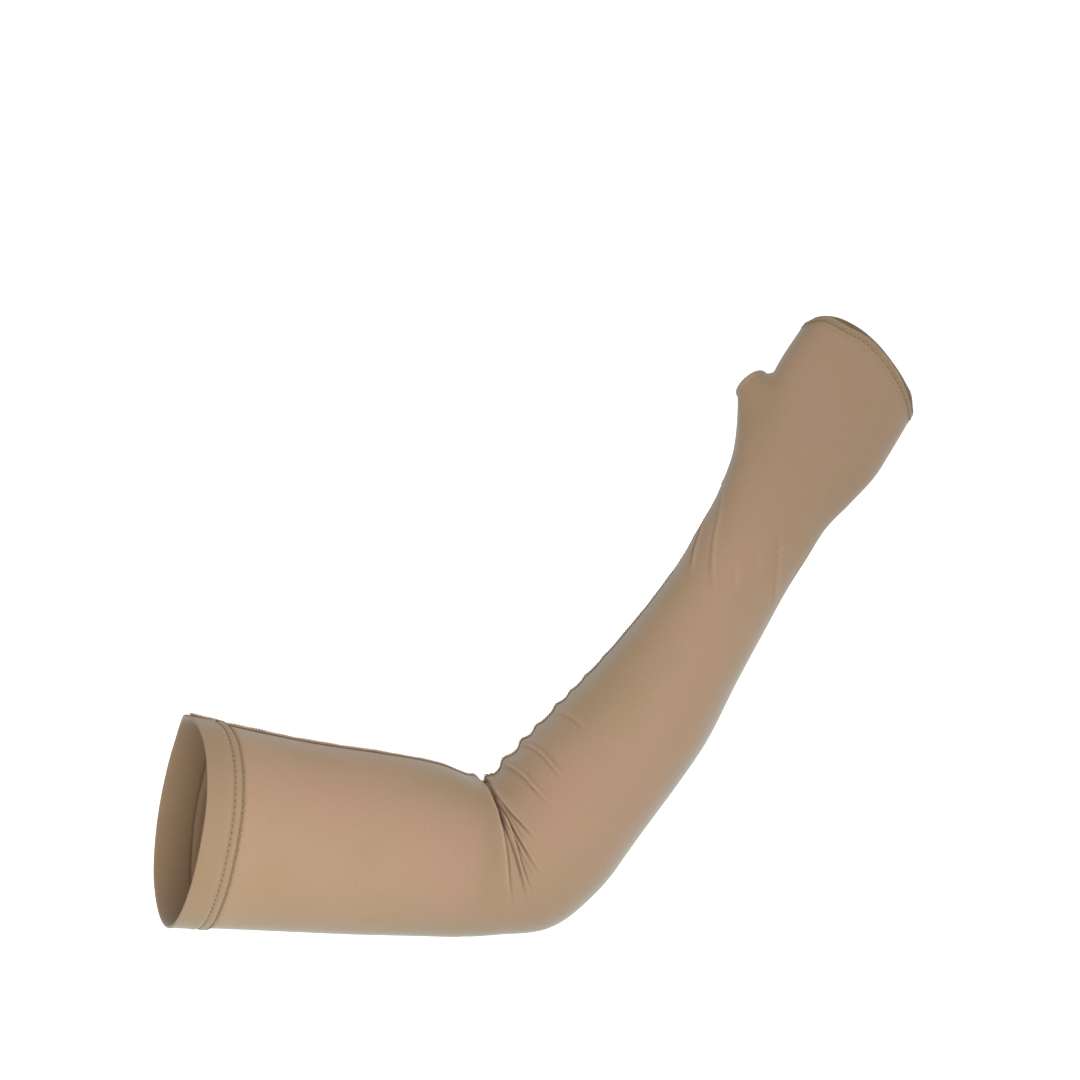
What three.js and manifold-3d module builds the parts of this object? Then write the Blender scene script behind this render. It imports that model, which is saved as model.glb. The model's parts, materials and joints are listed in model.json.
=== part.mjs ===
// A cooling arm sleeve for the right arm, in the shape it is worn in: a knitted tube from above the
// elbow to the knuckles, bent at the elbow, with an opening for the thumb in its lengthwise seam.
// Millimetres. The arm bends in the XZ plane, +Z is up, and the back of the hand and of the forearm
// faces -Y. The origin is the middle of the upper hem's ring, where the upper arm holds the sleeve.
import * as THREE from "three";
import { mergeVertices } from "three/addons/utils/BufferGeometryUtils.js";
import Module from "manifold-3d";

const wasm = await Module();
wasm.setup();

// ---- Driving sizes ----

const CLOTH = 1.2; // wall of the knitted panel
const TURNED = 1.8; // wall where a hem is turned, two layers
const GAP = 0.4; // between pieces at a seam
const BOWED_GAP = 0.8; // the same, along the centre line, where the edge is bowed
const PROUD = 0.3; // how far a turned hem stands out from the panel

const UPPER_SLOPE = -13; // degrees, the upper arm's centre line from +X
const BEND = 65; // degrees, the elbow's bend
const BEND_RADIUS = 46; // the centre line's, round the crook of the elbow
const UPPER_LENGTH = 174; // from the hem to where the elbow starts to bend
const SLEEVE_LENGTH = 549; // along the centre line

const UPPER_HEM = 21; // depth of the hem on the upper arm
const HAND_HEM = 6; // depth of the hem at the knuckles
const THUMB_HEM = 3.5; // depth of the hem of the thumb opening

const ROUND_STEPS = 28; // facets round the arm
const THUMB_STEPS = 18; // facets round the thumb

const table = (columns, rows) =>
  rows.map((row) => Object.fromEntries(columns.map((name, i) => [name, row[i]])));

// Sections of the arm: how far along the centre line, from there to the inner and to the outer edge,
// half the depth front to back, how square the section is (2 is an ellipse), how far its plane leans,
// in degrees, and how far its two edges lag behind its middle.
const SECTIONS = table(["along", "inner", "outer", "depth", "square", "lean", "bow"], [
  [0, 59.5, 59.5, 53, 2, -4, 0], // upper hem
  [22, 57.5, 57.5, 51, 2, -4, 0],
  [70, 54.2, 54.5, 48, 2, -2, 0], // biceps
  [110, 52.5, 52, 46, 2, 0, 0],
  [145, 49.7, 49, 44, 2, 0, 0],
  [168, 44, 47, 42.5, 2, 0, 0], // crook of the elbow
  [185, 42.5, 45, 41.5, 2, 0, 0],
  [200, 42.5, 49.5, 41, 2, 0, 0], // point of the elbow
  [215, 42.5, 47, 41, 2, 0, 0],
  [232, 41.2, 45.7, 41, 2, 0, 0],
  [255, 39, 45.3, 40.5, 2, 0, 0], // widest part of the forearm
  [285, 34.7, 45.3, 39, 2, 0, 0],
  [315, 31, 44, 36.5, 2, 0, 0],
  [350, 29, 38, 31.5, 2, 0, 0],
  [385, 29.5, 33, 27, 2, 0, 0],
  [410, 33, 29.5, 23.5, 2.1, 0, 0],
  [430, 36.5, 28, 21.5, 2.2, 0, 0], // wrist
  [452, 42.5, 26.5, 20, 2.3, 0, 2],
  [475, 50.5, 29.5, 19, 2.4, 0, 6], // root of the thumb
  [500, 51.5, 32, 18, 2.5, 2, 10],
  [520, 54.5, 31, 17.5, 2.5, 5, 13],
  [549, 56, 28, 17, 2.5, 7, 15], // knuckles
]);

// Puckers that the seam's stretched thread draws up on the inner edge below the crook.
const PUCKERS = table(["along", "height"], [
  [229, 2],
  [240, 2.2],
  [252, 2],
  [263, 1.4],
  [279, 1.3],
  [291, 1],
  [303, 0.8],
]);
const PUCKER_WIDTH = 3.6; // half a crest, along the arm
const PUCKER_REACH = 30; // degrees to either side of the inner edge

// Folds that fan out from the crook over each side of the elbow: -1 is the side to -Y. Degrees round
// the crook from the start of the bend, how far they turn on their way, the distances from the crook
// that they start and end at, half their width and their depth.
const FOLDS = table(["side", "turned", "curl", "from", "to", "width", "depth"], [
  [-1, 6, 10, 6, 62, 5, 2.2],
  [-1, 15, 12, 8, 70, 4.5, 3],
  [-1, 27, 10, 20, 66, 4.5, 2],
  [1, 8, 8, 6, 58, 5, 2.4],
  [1, 20, 12, 8, 66, 5, 2.8],
  [1, 33, 8, 18, 60, 4.5, 1.8],
]);

// The thumb's stub, drawn out of the panel: the way it points, and its sections from the root out,
// with half the width along the arm and across it.
const THUMB_ALONG = 485.5; // where its root lies along the arm
const THUMB_ROOT = 40; // from the hand's centre line
const THUMB_POINTS = { forward: 0.2, inward: 0.68, palm: 0.7 };
const THUMB_MOUTH = 20; // where the panel ends and the hem starts
const THUMB_SECTIONS = table(["out", "halfAlong", "halfAcross"], [
  [-6, 15, 7],
  [2, 17, 9.5],
  [8, 17.4, 12],
  [12, 16.4, 12.2],
  [18, 12.2, 11.8],
  [30, 10.6, 11],
]);

// The seam's way round the arm from the inner edge, towards -Y where it is positive, and its section:
// across the seam, and up from the cloth.
const SEAM_PATH = table(["along", "degrees"], [
  [0, -10],
  [UPPER_LENGTH, -13],
  [250, -18],
  [330, -27],
  [SLEEVE_LENGTH, -40],
]);
const SEAM_SECTION = table(["across", "up"], [
  [1.6, 0],
  [-1.6, 0],
  [-1.3, 0.7],
  [0, 1],
  [1.3, 0.7],
]);
const SEAM_LIFT = 0.6; // over the cloth's facets
const SEAM_INSET = 1; // the seam's ends stop this far short of the sleeve's
const SEAM_TO_THUMB = 25; // from the thumb's middle to the seam's end on the wrist side
const SEAM_FROM_THUMB = 22; // and to its start on the knuckles' side

// ---- The arm's surface ----

const { degToRad: radians, mapLinear, clamp, smoothstep, euclideanModulo } = THREE.MathUtils;
const BEND_LENGTH = radians(BEND) * BEND_RADIUS;

// The centre line's point, the way along it and the way to the inner side of the arm.
function directionsAt(turned) {
  const angle = radians(UPPER_SLOPE) + turned;
  return {
    forward: new THREE.Vector3(Math.cos(angle), 0, Math.sin(angle)),
    inward: new THREE.Vector3(-Math.sin(angle), 0, Math.cos(angle)),
  };
}
const upperArm = directionsAt(0);
const CROOK = new THREE.Vector3()
  .addScaledVector(upperArm.forward, UPPER_LENGTH)
  .addScaledVector(upperArm.inward, BEND_RADIUS);

function spineAt(along) {
  const past = along - UPPER_LENGTH;
  const { forward, inward } = directionsAt(clamp(past, 0, BEND_LENGTH) / BEND_RADIUS);
  const straight = Math.min(past, 0) + Math.max(past - BEND_LENGTH, 0);
  const point = CROOK.clone()
    .addScaledVector(inward, -BEND_RADIUS)
    .addScaledVector(forward, straight);
  return { point, forward, inward };
}

// The two neighbouring rows that a place lies between.
function rowsAround(rows, key, place) {
  const after = rows.findIndex((row) => row[key] > place);
  const i = after < 0 ? rows.length - 1 : Math.max(after, 1);
  return i - 1;
}

// A column's value on a cubic whose slope at each row comes from the rows beside it.
function sectionValue(name, along) {
  const i = rowsAround(SECTIONS, "along", along);
  const [a, b] = [SECTIONS[i], SECTIONS[i + 1]];
  const slope = (k) => {
    const before = SECTIONS[Math.max(k - 1, 0)];
    const behind = SECTIONS[Math.min(k + 1, SECTIONS.length - 1)];
    return (behind[name] - before[name]) / (behind.along - before.along);
  };
  const span = b.along - a.along;
  const t = (along - a.along) / span;
  const rest = 1 - t;
  return (
    a[name] * rest * rest * (1 + 2 * t) +
    b[name] * t * t * (1 + 2 * rest) +
    span * t * rest * (slope(i) * rest - slope(i + 1) * t)
  );
}

// A column's value on straight lines between rows.
function lineValue(rows, key, name, place) {
  const i = rowsAround(rows, key, place);
  return mapLinear(place, rows[i][key], rows[i + 1][key], rows[i][name], rows[i + 1][name]);
}

const bell = (distance, width) => Math.exp(-((distance / width) ** 2));

// How far the puckers lift the cloth, at an angle round the arm from its inner edge.
function puckerLift(along, round) {
  const aside = euclideanModulo(round + Math.PI, 2 * Math.PI) - Math.PI;
  const crests = PUCKERS.map((pucker) => pucker.height * bell(along - pucker.along, PUCKER_WIDTH));
  return crests.reduce((sum, height) => sum + height) * bell(aside, radians(PUCKER_REACH));
}

// How far the crook's folds sink the cloth at a point.
function foldSink(point) {
  const away = Math.hypot(point.x - CROOK.x, point.z - CROOK.z);
  const turned = Math.atan2(point.x - CROOK.x, CROOK.z - point.z) - radians(UPPER_SLOPE);
  const sinks = FOLDS.filter((fold) => fold.side === Math.sign(point.y)).map((fold) => {
    const share = (away - fold.from) / (fold.to - fold.from);
    const across = away * (turned - radians(fold.turned + fold.curl * share));
    const ends = smoothstep(share, -0.1, 0.25) * (1 - smoothstep(share, 0.6, 1.1));
    return fold.depth * ends * bell(across, fold.width);
  });
  return sinks.reduce((sum, depth) => sum + depth, 0);
}

// A point of the arm's section: along the centre line, and round it from the inner edge towards -Y.
function sectionPoint(along, round) {
  const { point, forward, inward } = spineAt(along);
  const size = (name) => sectionValue(name, along);
  const rounded = (value) => Math.sign(value) * Math.abs(value) ** (2 / size("square"));
  const toInner = rounded(Math.cos(round));
  const across = (size("inner") - size("outer") + (size("inner") + size("outer")) * toInner) / 2;
  const ahead = Math.tan(radians(size("lean"))) * across - size("bow") * toInner * toInner;
  return point
    .addScaledVector(inward, across)
    .addScaledVector(forward, ahead)
    .setY(-size("depth") * rounded(Math.sin(round)));
}

function outwardAt(along, round) {
  const [step, turn] = [0.05, 0.001]; // small enough for a slope
  const ahead = sectionPoint(along + step, round).sub(sectionPoint(along - step, round));
  const about = sectionPoint(along, round + turn).sub(sectionPoint(along, round - turn));
  return about.cross(ahead).normalize();
}

// The cloth's outer face, or a face that lies further out.
function clothPoint(along, round, raise) {
  const plain = sectionPoint(along, round);
  const lift = puckerLift(along, round) - foldSink(plain);
  return plain.addScaledVector(outwardAt(along, round), lift + raise);
}

// A point on the facets, straight between two corners of the section's polygon.
function facetPoint(along, round, raise) {
  const step = (2 * Math.PI) / ROUND_STEPS;
  const corner = Math.floor(round / step) * step;
  const next = clothPoint(along, corner + step, raise);
  return clothPoint(along, corner, raise).lerp(next, (round - corner) / step);
}

// ---- Solids ----

// A closed solid through rings of points, with a cap at each end.
function ringSolid(rings) {
  const count = rings[0].length;
  const middle = (ring) =>
    ring.reduce((sum, point) => sum.add(point), new THREE.Vector3()).divideScalar(count);
  const points = [...rings.flat(), middle(rings[0]), middle(rings.at(-1))];
  const firstCap = rings.length * count;
  const lastRing = firstCap - count;
  const faces = [];
  for (let j = 0; j < count; j += 1) {
    const next = (j + 1) % count;
    for (let near = 0; near < lastRing; near += count) {
      const far = near + count;
      faces.push(near + j, near + next, far + j);
      faces.push(near + next, far + next, far + j);
    }
    faces.push(firstCap, next, j);
    faces.push(firstCap + 1, lastRing + j, lastRing + next);
  }
  const merged = mergeVertices(new THREE.BufferGeometry().setFromPoints(points).setIndex(faces));
  return new wasm.Manifold(
    new wasm.Mesh({
      numProp: 3,
      vertProperties: merged.attributes.position.array,
      triVerts: new Uint32Array(merged.index.array),
    }),
  );
}

const turns = (count) => Array.from({ length: count }, (_, j) => (2 * Math.PI * j) / count);

// Places from one end of a stretch to the other, about a step apart, both ends kept.
function stepped(from, to, step) {
  const count = Math.round((to - from) / step);
  return Array.from({ length: count + 1 }, (_, i) => from + ((to - from) * i) / count);
}

function armSolid(stations, raise) {
  const rounds = turns(ROUND_STEPS);
  return ringSolid(stations.map((along) => rounds.map((round) => clothPoint(along, round, raise))));
}

// The room inside a stretch of the sleeve, run on past both of its ends.
function armHollow(stations, raise) {
  const overrun = 4;
  return armSolid([stations[0] - overrun, ...stations, stations.at(-1) + overrun], raise);
}

const hand = spineAt(THUMB_ALONG);
const thumb = { root: hand.point.clone().addScaledVector(hand.inward, THUMB_ROOT) };
thumb.out = new THREE.Vector3(0, THUMB_POINTS.palm, 0)
  .addScaledVector(hand.forward, THUMB_POINTS.forward)
  .addScaledVector(hand.inward, THUMB_POINTS.inward)
  .normalize();
thumb.along = hand.forward
  .clone()
  .addScaledVector(thumb.out, -hand.forward.dot(thumb.out))
  .normalize();
thumb.across = thumb.out.clone().cross(thumb.along);

function thumbSolid(places, raise) {
  const size = (name, place) => lineValue(THUMB_SECTIONS, "out", name, place) + raise;
  const rings = places.map((place) =>
    turns(THUMB_STEPS).map((turn) =>
      thumb.root
        .clone()
        .addScaledVector(thumb.out, place)
        .addScaledVector(thumb.along, Math.cos(turn) * size("halfAlong", place))
        .addScaledVector(thumb.across, Math.sin(turn) * size("halfAcross", place)),
    ),
  );
  return ringSolid(rings);
}

// ---- Pieces ----

const handHemStart = SLEEVE_LENGTH - HAND_HEM;
const bendEnd = UPPER_LENGTH + BEND_LENGTH;
const panelStations = [
  ...stepped(UPPER_HEM + GAP, 150, 18),
  ...stepped(158, UPPER_LENGTH, 8),
  ...stepped(UPPER_LENGTH, bendEnd, 4.2).slice(1),
  ...stepped(bendEnd, 310, 4.9).slice(1),
  ...stepped(310, 440, 15).slice(1),
  ...stepped(440, handHemStart - BOWED_GAP, 10).slice(1),
];
const upperHemStations = stepped(0, UPPER_HEM, 7);
const handHemStations = stepped(handHemStart, SLEEVE_LENGTH, 3);

function sleevePanel() {
  const rows = THUMB_SECTIONS.map((row) => row.out).filter((out) => out < THUMB_MOUTH);
  const hole = thumbSolid([...rows, THUMB_MOUTH + THUMB_HEM], -CLOTH);
  return armSolid(panelStations, 0)
    .add(thumbSolid([...rows, THUMB_MOUTH], 0))
    .subtract(armHollow(panelStations, -CLOTH))
    .subtract(hole);
}

const turnedHem = (stations) =>
  armSolid(stations, PROUD).subtract(armHollow(stations, PROUD - TURNED));

function thumbHem() {
  const from = THUMB_MOUTH + GAP;
  const to = from + THUMB_HEM;
  const hole = thumbSolid([from - THUMB_HEM, to + THUMB_HEM], PROUD - TURNED);
  return thumbSolid([from, to], PROUD).subtract(hole);
}

// The overlocked ridge, which lies on the panel and climbs onto the hems.
function seamRidge(stations) {
  const rings = stations.map((along) => {
    const onHem = along <= UPPER_HEM || along >= handHemStart;
    const round = radians(lineValue(SEAM_PATH, "along", "degrees", along));
    const outward = outwardAt(along, round);
    return SEAM_SECTION.map(({ across, up }) =>
      facetPoint(along, round + across / sectionValue("depth", along), onHem ? PROUD : 0)
        .addScaledVector(outward, up + SEAM_LIFT),
    );
  });
  return ringSolid(rings);
}

const lengthwiseSeam = () =>
  seamRidge([
    SEAM_INSET,
    ...upperHemStations.slice(1),
    ...panelStations.filter((along) => along < THUMB_ALONG - SEAM_TO_THUMB),
  ]);
const handSeam = () =>
  seamRidge([
    ...panelStations.filter((along) => along > THUMB_ALONG + SEAM_FROM_THUMB),
    ...handHemStations.slice(0, -1),
    SLEEVE_LENGTH - SEAM_INSET,
  ]);

// ---- The sleeve ----

const cloth = (color, roughness) =>
  new THREE.MeshStandardMaterial({ color, roughness, metalness: 0 });
const jersey = cloth("#b89878", 0.75);
const hemJersey = cloth("#b09376", 0.75);
const seamThread = cloth("#806048", 0.9);

const sleeve = new THREE.Group();
function addPiece(name, solid, material) {
  const { vertProperties, triVerts } = solid.getMesh();
  const geometry = new THREE.BufferGeometry();
  geometry.setAttribute("position", new THREE.BufferAttribute(vertProperties, 3));
  geometry.setIndex(new THREE.BufferAttribute(triVerts, 1));
  geometry.computeVertexNormals();
  const mesh = new THREE.Mesh(geometry, material);
  mesh.name = name;
  sleeve.add(mesh);
}
addPiece("sleeve_panel", sleevePanel(), jersey);
addPiece("upper_hem", turnedHem(upperHemStations), hemJersey);
addPiece("hand_hem", turnedHem(handHemStations), hemJersey);
addPiece("thumb_hem", thumbHem(), hemJersey);
addPiece("lengthwise_seam", lengthwiseSeam(), seamThread);
addPiece("hand_seam", handSeam(), seamThread);

export default sleeve;
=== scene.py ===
# A cooling arm sleeve of thin stretch jersey, shaped as it is worn on a bent right arm: a knitted
# tube with turned hems, an opening for the thumb, and one lengthwise seam along its inner edge.
# It runs from the middle of the upper hem's ring towards +X, bends in the XZ plane, and the back of
# the hand faces -Y.
import json
import math

import bmesh
import bpy
import numpy as np
from mathutils import Matrix, Vector

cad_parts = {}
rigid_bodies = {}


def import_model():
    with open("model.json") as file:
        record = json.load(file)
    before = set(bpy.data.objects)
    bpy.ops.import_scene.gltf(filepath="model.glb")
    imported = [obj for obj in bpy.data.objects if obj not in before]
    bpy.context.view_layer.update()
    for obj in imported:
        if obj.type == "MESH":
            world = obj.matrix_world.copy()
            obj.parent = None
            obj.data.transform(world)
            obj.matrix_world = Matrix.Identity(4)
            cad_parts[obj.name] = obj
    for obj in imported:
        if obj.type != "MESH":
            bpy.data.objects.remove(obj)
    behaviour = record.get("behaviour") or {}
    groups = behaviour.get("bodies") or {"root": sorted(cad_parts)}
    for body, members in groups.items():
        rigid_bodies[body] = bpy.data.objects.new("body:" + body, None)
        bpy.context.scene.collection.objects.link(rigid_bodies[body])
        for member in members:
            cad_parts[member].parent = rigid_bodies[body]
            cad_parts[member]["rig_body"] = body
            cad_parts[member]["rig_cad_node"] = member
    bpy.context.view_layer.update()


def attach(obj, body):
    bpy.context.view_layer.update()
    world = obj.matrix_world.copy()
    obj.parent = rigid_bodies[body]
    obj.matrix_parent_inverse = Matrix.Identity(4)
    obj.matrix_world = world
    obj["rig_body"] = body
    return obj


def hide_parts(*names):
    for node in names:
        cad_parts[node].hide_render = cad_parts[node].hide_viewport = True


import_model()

# ---- Sleeve panel --------------------------------------------------------------------------------
# One piece of fine two-way stretch jersey, nylon with elastane, cut flat and closed into a tube by
# the lengthwise seam. Worn, it is stretched smooth over the arm, fans into folds at the crook of the
# elbow, and is drawn up into puckers along the seam.

MM = 0.001
UPPER_SLOPE = math.radians(-13)  # of the upper arm's centre line, from +X
BEND_RADIUS = 46.0
BEND_LENGTH = math.radians(65) * BEND_RADIUS
UPPER_LENGTH = 174.0  # from the upper hem's edge to the start of the bend
SLEEVE_LENGTH = 549.0
UPPER_HEM = 21.0  # depth of what is turned in at the upper arm
HAND_HEM = 6.0  # and at the knuckles

# Sections, in mm: place along the centre line, distance to the inner and outer edge, half the depth
# front to back, squareness (2 is an ellipse), lean of the plane in degrees, and how far the two edges
# lag behind the middle.
SECTIONS = np.array([
    (0, 59.5, 59.5, 53, 2, -4, 0),
    (22, 57.5, 57.5, 51, 2, -4, 0),
    (70, 54.2, 54.5, 48, 2, -2, 0),
    (110, 52.5, 52, 46, 2, 0, 0),
    (145, 49.7, 49, 44, 2, 0, 0),
    (168, 44, 47, 42.5, 2, 0, 0),
    (185, 42.5, 45, 41.5, 2, 0, 0),
    (200, 42.5, 49.5, 41, 2, 0, 0),
    (215, 42.5, 47, 41, 2, 0, 0),
    (232, 41.2, 45.7, 41, 2, 0, 0),
    (255, 39, 45.3, 40.5, 2, 0, 0),
    (285, 34.7, 45.3, 39, 2, 0, 0),
    (315, 31, 44, 36.5, 2, 0, 0),
    (350, 29, 38, 31.5, 2, 0, 0),
    (385, 29.5, 33, 27, 2, 0, 0),
    (410, 33, 29.5, 23.5, 2.1, 0, 0),
    (430, 36.5, 28, 21.5, 2.2, 0, 0),
    (452, 42.5, 26.5, 20, 2.3, 0, 2),
    (475, 50.5, 29.5, 19, 2.4, 0, 6),
    (500, 51.5, 32, 18, 2.5, 2, 10),
    (520, 54.5, 31, 17.5, 2.5, 5, 13),
    (549, 56, 28, 17, 2.5, 7, 15),
])
PLACES = SECTIONS[:, 0]
SLOPES = np.empty_like(SECTIONS)
SLOPES[1:-1] = (SECTIONS[2:] - SECTIONS[:-2]) / (PLACES[2:] - PLACES[:-2])[:, None]
SLOPES[0] = (SECTIONS[1] - SECTIONS[0]) / (PLACES[1] - PLACES[0])
SLOPES[-1] = (SECTIONS[-1] - SECTIONS[-2]) / (PLACES[-1] - PLACES[-2])


def section_at(along):
    """The section's columns at each place, on a cubic through the rows."""
    i = np.clip(np.searchsorted(PLACES, along, side="right") - 1, 0, len(PLACES) - 2)
    span = PLACES[i + 1] - PLACES[i]
    t = ((along - PLACES[i]) / span)[:, None]
    r = 1 - t
    values = SECTIONS[i] * r * r * (1 + 2 * t) + SECTIONS[i + 1] * t * t * (1 + 2 * r)
    values += span[:, None] * t * r * (SLOPES[i] * r - SLOPES[i + 1] * t)
    return values[:, 1:].T


def directions(turned):
    """The way along the arm and the way to its inner side, past a turn from the upper arm."""
    angle = UPPER_SLOPE + turned
    none = np.zeros_like(angle)
    forward = np.stack([np.cos(angle), none, np.sin(angle)], -1)
    return forward, np.stack([-np.sin(angle), none, np.cos(angle)], -1)


UPPER_FORWARD, UPPER_INWARD = directions(np.float64(0))
CROOK = UPPER_FORWARD * UPPER_LENGTH + UPPER_INWARD * BEND_RADIUS


def smooth_arm(along, around):
    """Points of the smooth arm in mm, `around` from the inner edge towards -Y."""
    past = along - UPPER_LENGTH
    forward, inward = directions(np.clip(past, 0, BEND_LENGTH) / BEND_RADIUS)
    straight = np.minimum(past, 0) + np.maximum(past - BEND_LENGTH, 0)
    inner, outer, depth, square, lean, bow = section_at(along)
    to_inner = np.sign(np.cos(around)) * np.abs(np.cos(around)) ** (2 / square)
    to_front = np.sign(np.sin(around)) * np.abs(np.sin(around)) ** (2 / square)
    across = (inner - outer + (inner + outer) * to_inner) / 2
    ahead = np.tan(np.radians(lean)) * across - bow * to_inner**2
    points = CROOK - BEND_RADIUS * inward + (straight + ahead)[:, None] * forward
    points += across[:, None] * inward
    points[:, 1] -= depth * to_front
    return points


NUDGE = 0.05  # mm along the arm, for directions
NUDGE_ROUND = 0.001  # radians round it


def outward(along, around):
    """The smooth arm's outward directions."""
    ahead = smooth_arm(along + NUDGE, around) - smooth_arm(along - NUDGE, around)
    about = smooth_arm(along, around + NUDGE_ROUND) - smooth_arm(along, around - NUDGE_ROUND)
    out = np.cross(about, ahead)
    return out / np.linalg.norm(out, axis=1)[:, None]


# Puckers drawn up by the seam, in mm: place along the arm, height on the seam, half the width of the
# crest, and how far it runs on towards the front and the back, in degrees. In the first the seam pulls
# the upper arm's cloth in. The next five make the crook: a ledge, a dip, and the roll beside it. The
# last is the rise from the thumb to the hand.
PUCKERS = [
    (70, -1.8, 62, 40, 40),
    (166.5, 1.2, 2.5, 12, 14),
    (172.5, -1.2, 3.0, 14, 18),
    (196, 3.1, 9, 24, 28),
    (209, 2.2, 8, 22, 26),
    (222, 2.3, 6, 22, 28),
    (238, 2.6, 3.8, 40, 40),
    (252.5, 1.9, 2.9, 36, 52),
    (264, 1.3, 2.8, 24, 30),
    (280, 1.3, 2.9, 32, 38),
    (291, 0.9, 2.6, 22, 26),
    (303, 0.7, 2.6, 18, 30),
    (318, 0.4, 2.4, 16, 16),
    (528, 0.5, 22, 60, 60),
]
# The two creases that run on over the forearm from the biggest puckers, front: each has a ridge, and
# a shallow furrow on its other side. Places along the arm, and degrees round it towards the front.
FIRST_RIPPLE = ((236, -12), (239.5, 4), (240.5, 22), (239.5, 36), (237.5, 58))
SECOND_RIPPLE = ((251, -14), (254.5, 0), (256.3, 16), (255.9, 30), (252.5, 56))

# Creases: height of the fold's ridge and depth of the furrow beside it in mm, half the ridge's width
# (negative: the furrow is on the shoulder's side), the share of the way over which the crease rises
# from nothing, and the way itself, as places along the arm and degrees round it from the inner edge
# towards the front.
CREASES = [
    # the fan at the crook, front: the rolled edge of the upper arm, the deep fold under it, and the
    # thin folds that spread from it over the elbow
    (
        0.8, 0.9, 0.75, 0.03,
        (168.5, -8), (169.5, 6), (170.8, 18), (173, 32), (178, 46), (181, 60), (182, 76), (183.6, 97),
        (185, 112),
    ),
    (-1.4, 0.0, 1.5, 0.01, (174, -14), (174.5, 0), (175.5, 14), (179, 26), (183.5, 42), (187, 56)),
    (
        -1.25, 0.0, 0.72, 0.02,
        (174, 4), (175.8, 21), (181, 33), (185.2, 48), (188.6, 60), (190.6, 75), (191.4, 92),
        (192.4, 110),
    ),
    (0.85, 1.0, 0.58, 0.12, (186, 28), (190.8, 46), (192.2, 58), (191.8, 70), (192.6, 84), (195, 104)),
    (0.95, 0.5, -0.5, 0.12, (184, 27), (188.8, 38), (193, 50), (195.6, 64), (198.4, 77), (200.4, 93)),
    (
        1.1, 1.3, -0.6, 0.04,
        (174, -6), (178, 4), (184, 12), (189, 22), (193.5, 32), (196.6, 43), (198.8, 53), (200.2, 64),
        (202, 76), (203.6, 94),
    ),
    (-0.5, 0.0, 1.0, 0.3, (188, 22), (196.5, 35), (199.8, 48), (202, 62)),
    (
        1.05, 1.05, -0.62, 0.03,
        (176, -8), (186, 2), (192, 10), (197.5, 19), (202.5, 28), (206.8, 37), (209.8, 45), (212, 56),
        (213.2, 71),
    ),
    # the fan at the crook, back
    (0.8, 0.9, 0.75, 0.03, (168.5, -22), (171, -38), (175.5, -54), (179, -70), (181.5, -88), (183, -108)),
    (-1.6, 0.0, 1.5, 0.02, (174, -18), (177, -34), (181.5, -50), (186, -64)),
    (-1.2, 0.0, 0.75, 0.02, (174, -20), (178, -38), (184, -54), (188, -72), (190, -92), (190.5, -108)),
    (0.8, 1.0, 0.65, 0.15, (184, -36), (190, -52), (193, -66), (194.5, -82), (196.5, -102)),
    (1.0, 1.1, -0.7, 0.04, (176, -22), (184, -34), (192, -46), (197.5, -60), (200.5, -76), (202, -98)),
    (0.9, 1.0, -0.75, 0.03, (180, -18), (192, -28), (202, -38), (208, -50), (211.5, -64), (212.5, -78)),
    # forearm, running on from the puckers, front and back
    (0.9, 0.7, -0.8, 0.1, *FIRST_RIPPLE),
    (0.0, 0.35, 0.8, 0.1, *FIRST_RIPPLE),
    (0.8, 0.5, -0.8, 0.1, *SECOND_RIPPLE),
    (0.0, 0.45, 0.8, 0.1, *SECOND_RIPPLE),
    (0.5, 0.35, -0.9, 0.1, (277, -14), (281, 4), (283, 20), (283, 36)),
    (0.8, 0.6, -0.8, 0.1, (230, -20), (233, -36), (232, -56)),
    (0.8, 0.6, -0.8, 0.1, (253, -22), (257, -38), (257, -62)),
    (0.5, 0.35, -0.9, 0.1, (280, -22), (285, -38), (285, -52)),
    # wrist, front
    (1.0, 1.1, -1.4, 0.25, (420, -14), (409, 0), (400, 7), (393, 15), (385, 26)),
    (
        0.85, 0.9, -1.1, 0.5,
        (446, -10), (434, 8), (426, 15), (417, 23), (409, 31), (401, 39), (392, 49), (382, 68),
    ),
    (0.75, 0.55, -1.0, 0.35, (436, 90), (431, 97), (422.5, 105), (414, 116), (405, 127), (394, 142)),
    (-0.7, 0.0, 1.2, 0.2, (432, 145), (421, 145), (411, 149)),
    (0.25, 0.2, -1.4, 0.3, (408, 67), (395, 79)),
    (0.2, 0.2, -1.4, 0.3, (420, 82), (404, 99)),
    # wrist, palm side
    (1.0, 1.2, -1.3, 0.2, (442, -30), (430, -42), (416, -56), (402, -72), (390, -86)),
    (0.8, 1.0, -1.3, 0.2, (431, -66), (419, -80), (407, -98), (398, -118)),
    (0.6, 0.6, 1.3, 0.25, (448, -62), (440, -82), (435, -104)),
    (-0.7, 0.0, 1.3, 0.2, (424, -134), (409, -147)),
]
STEPS = 32  # samples along a crease
ROUNDINGS = 8  # times that its corners are smoothed
REACH = 5  # half widths beyond which a crease is nothing
FADE_FROM = 0.72  # the share of its way from which it fades out


def smoothstep(value, low, high):
    t = np.clip((value - low) / (high - low), 0, 1)
    return t * t * (3 - 2 * t)


def bell(distance, width):
    return np.exp(-((distance / width) ** 2))


# The seam's way: place along the arm, and degrees from the inner edge towards the front.
SEAM_AT, SEAM_TURNS = np.array([
    (0, -10), (UPPER_LENGTH, -13), (250, -18), (330, -27), (SLEEVE_LENGTH, -40),
]).T


def seam_around(along):
    """Where the seam lies, from the inner edge towards the front."""
    return np.radians(np.interp(along, SEAM_AT, SEAM_TURNS))


def between(turn):
    """An angle brought between minus and plus half a turn."""
    return (turn + np.pi) % (2 * np.pi) - np.pi


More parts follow.
